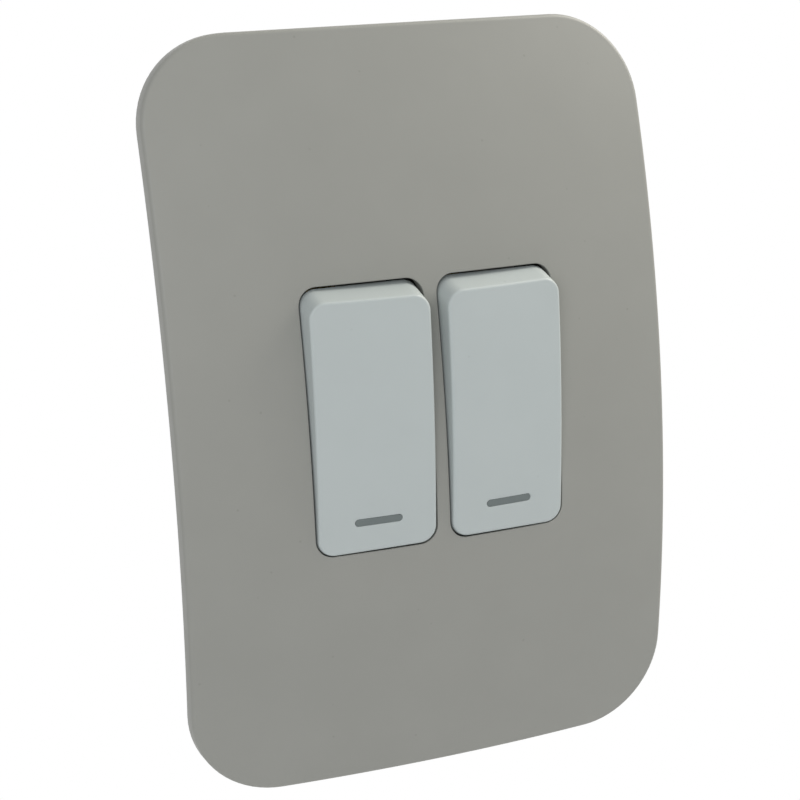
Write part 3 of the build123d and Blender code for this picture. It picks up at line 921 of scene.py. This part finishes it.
# Floor, light and camera

# floor and lamps in metres, the camera in millimetres and degrees
stageSettings = {
    "floorDrop": 0.35, "floorRadius": 1.2, "floorSteps": 96, "fadeStart": 0.12, "fadeEnd": 0.5,
    "floorColour": (0.74, 0.75, 0.78, 1), "floorRough": 0.9, "ambient": 0.465,
}
white = (1, 1, 1, 1)


def seenRays(tree):
    # 1 for what the camera sees, straight or in a gloss
    path = addNode(tree, "ShaderNodeLightPath").outputs
    seen = mathNode(tree, "MAXIMUM", path["Is Camera Ray"], path["Is Glossy Ray"])
    return mathNode(tree, "MAXIMUM", seen, path["Is Transmission Ray"])


def makeFloor():
    # a pale disc whose far parts look as white as the background
    s = stageSettings
    rim = circleOutline(s["floorRadius"], s["floorSteps"])[:, :2]
    mesh = bpy.data.meshes.new("floor")
    mesh.from_pydata([(x, y, -s["floorDrop"]) for x, y in rim], [], [tuple(range(len(rim)))])
    material, tree, shader = startMaterial("paleFloor")
    shader.inputs["Base Color"].default_value = s["floorColour"]
    shader.inputs["Roughness"].default_value = s["floorRough"]
    flatCoords = addNode(tree, "ShaderNodeMapping", {"Vector": objectCoords(tree), "Scale": (1, 1, 0)})
    away = addNode(tree, "ShaderNodeVectorMath", {0: flatCoords.outputs["Vector"]}, operation="LENGTH")
    fade = rampNode(tree, away.outputs["Value"], s["fadeStart"], s["fadeEnd"], 0, 1)
    glow = addNode(tree, "ShaderNodeEmission", {"Color": white, "Strength": 1.0})
    mix = addNode(tree, "ShaderNodeMixShader", {
        0: mathNode(tree, "MULTIPLY", fade, seenRays(tree)),
        1: shader.outputs["BSDF"], 2: glow.outputs["Emission"],
    })
    output = [node for node in tree.nodes if node.type == "OUTPUT_MATERIAL"][0]
    tree.links.new(mix.outputs["Shader"], output.inputs["Surface"])
    mesh.materials.append(material)
    newObject("floor", mesh)


def makeWorld():
    # white where it is seen, about half of that as light
    world = bpy.data.worlds.new("studio")
    bpy.context.scene.world = world
    world.use_nodes = True
    tree = world.node_tree
    tree.nodes.clear()
    backdrop = addNode(tree, "ShaderNodeBackground", {"Color": white, "Strength": 1.0})
    ambient = addNode(tree, "ShaderNodeBackground", {"Color": white, "Strength": stageSettings["ambient"]})
    mix = addNode(tree, "ShaderNodeMixShader", {
        0: seenRays(tree), 1: ambient.outputs["Background"], 2: backdrop.outputs["Background"],
    })
    addNode(tree, "ShaderNodeOutputWorld", {"Surface": mix.outputs["Shader"]})


lampSettings = {
    "key": {"place": (0.96, -0.09, 0.8), "size": 0.8, "power": 16.5, "colour": (1.0, 0.95, 0.86)},
    "fill": {"place": (-0.65, -1.02, 0.25), "size": 0.9, "power": 6.3, "colour": (1.0, 1.0, 1.0)},
}


def makeLamp(name, place, size, power, colour):
    # a round lamp that faces the origin
    lamp = bpy.data.lights.new(name, "AREA")
    lamp.shape = "DISK"
    lamp.size = size
    lamp.energy = power
    lamp.color = colour
    holder = newObject(name, lamp)
    holder.location = place
    holder.rotation_euler = Vector(place).to_track_quat("Z", "Y").to_euler()


cameraSettings = {
    "aim": (-6.507, -13.0, 2.51), "distance": 295.1, "azimuth": -20.934, "elevation": 10.178,
    "roll": -3.690, "lens": 84.97, "sensor": 36.0, "nearClip": 0.01,
}


def makeCamera():
    # looks at the aim point from a distance, turned about its own axis by the roll
    c = cameraSettings
    azimuth, elevation, roll = (math.radians(c[k]) for k in ("azimuth", "elevation", "roll"))
    reach = math.cos(elevation)
    back = Vector((math.sin(azimuth) * reach, -math.cos(azimuth) * reach, math.sin(elevation)))
    right = Vector((0, 0, 1)).cross(back).normalized()
    up = back.cross(right)
    rightTurned = right * math.cos(roll) + up * math.sin(roll)
    upTurned = up * math.cos(roll) - right * math.sin(roll)
    camera = bpy.data.cameras.new("camera")
    camera.lens = c["lens"]
    camera.sensor_width = c["sensor"]
    camera.clip_start = c["nearClip"]
    holder = newObject("camera", camera)
    place = Matrix.Translation((Vector(c["aim"]) + back * c["distance"]) * mm)
    holder.matrix_world = place @ Matrix((rightTurned, upTurned, back)).transposed().to_4x4()
    bpy.context.scene.camera = holder


makeFloor()
makeWorld()
for lampName, settings in lampSettings.items():
    makeLamp(lampName, **settings)
makeCamera()
bpy.context.scene.view_settings.view_transform = "Standard"
print("stage set")
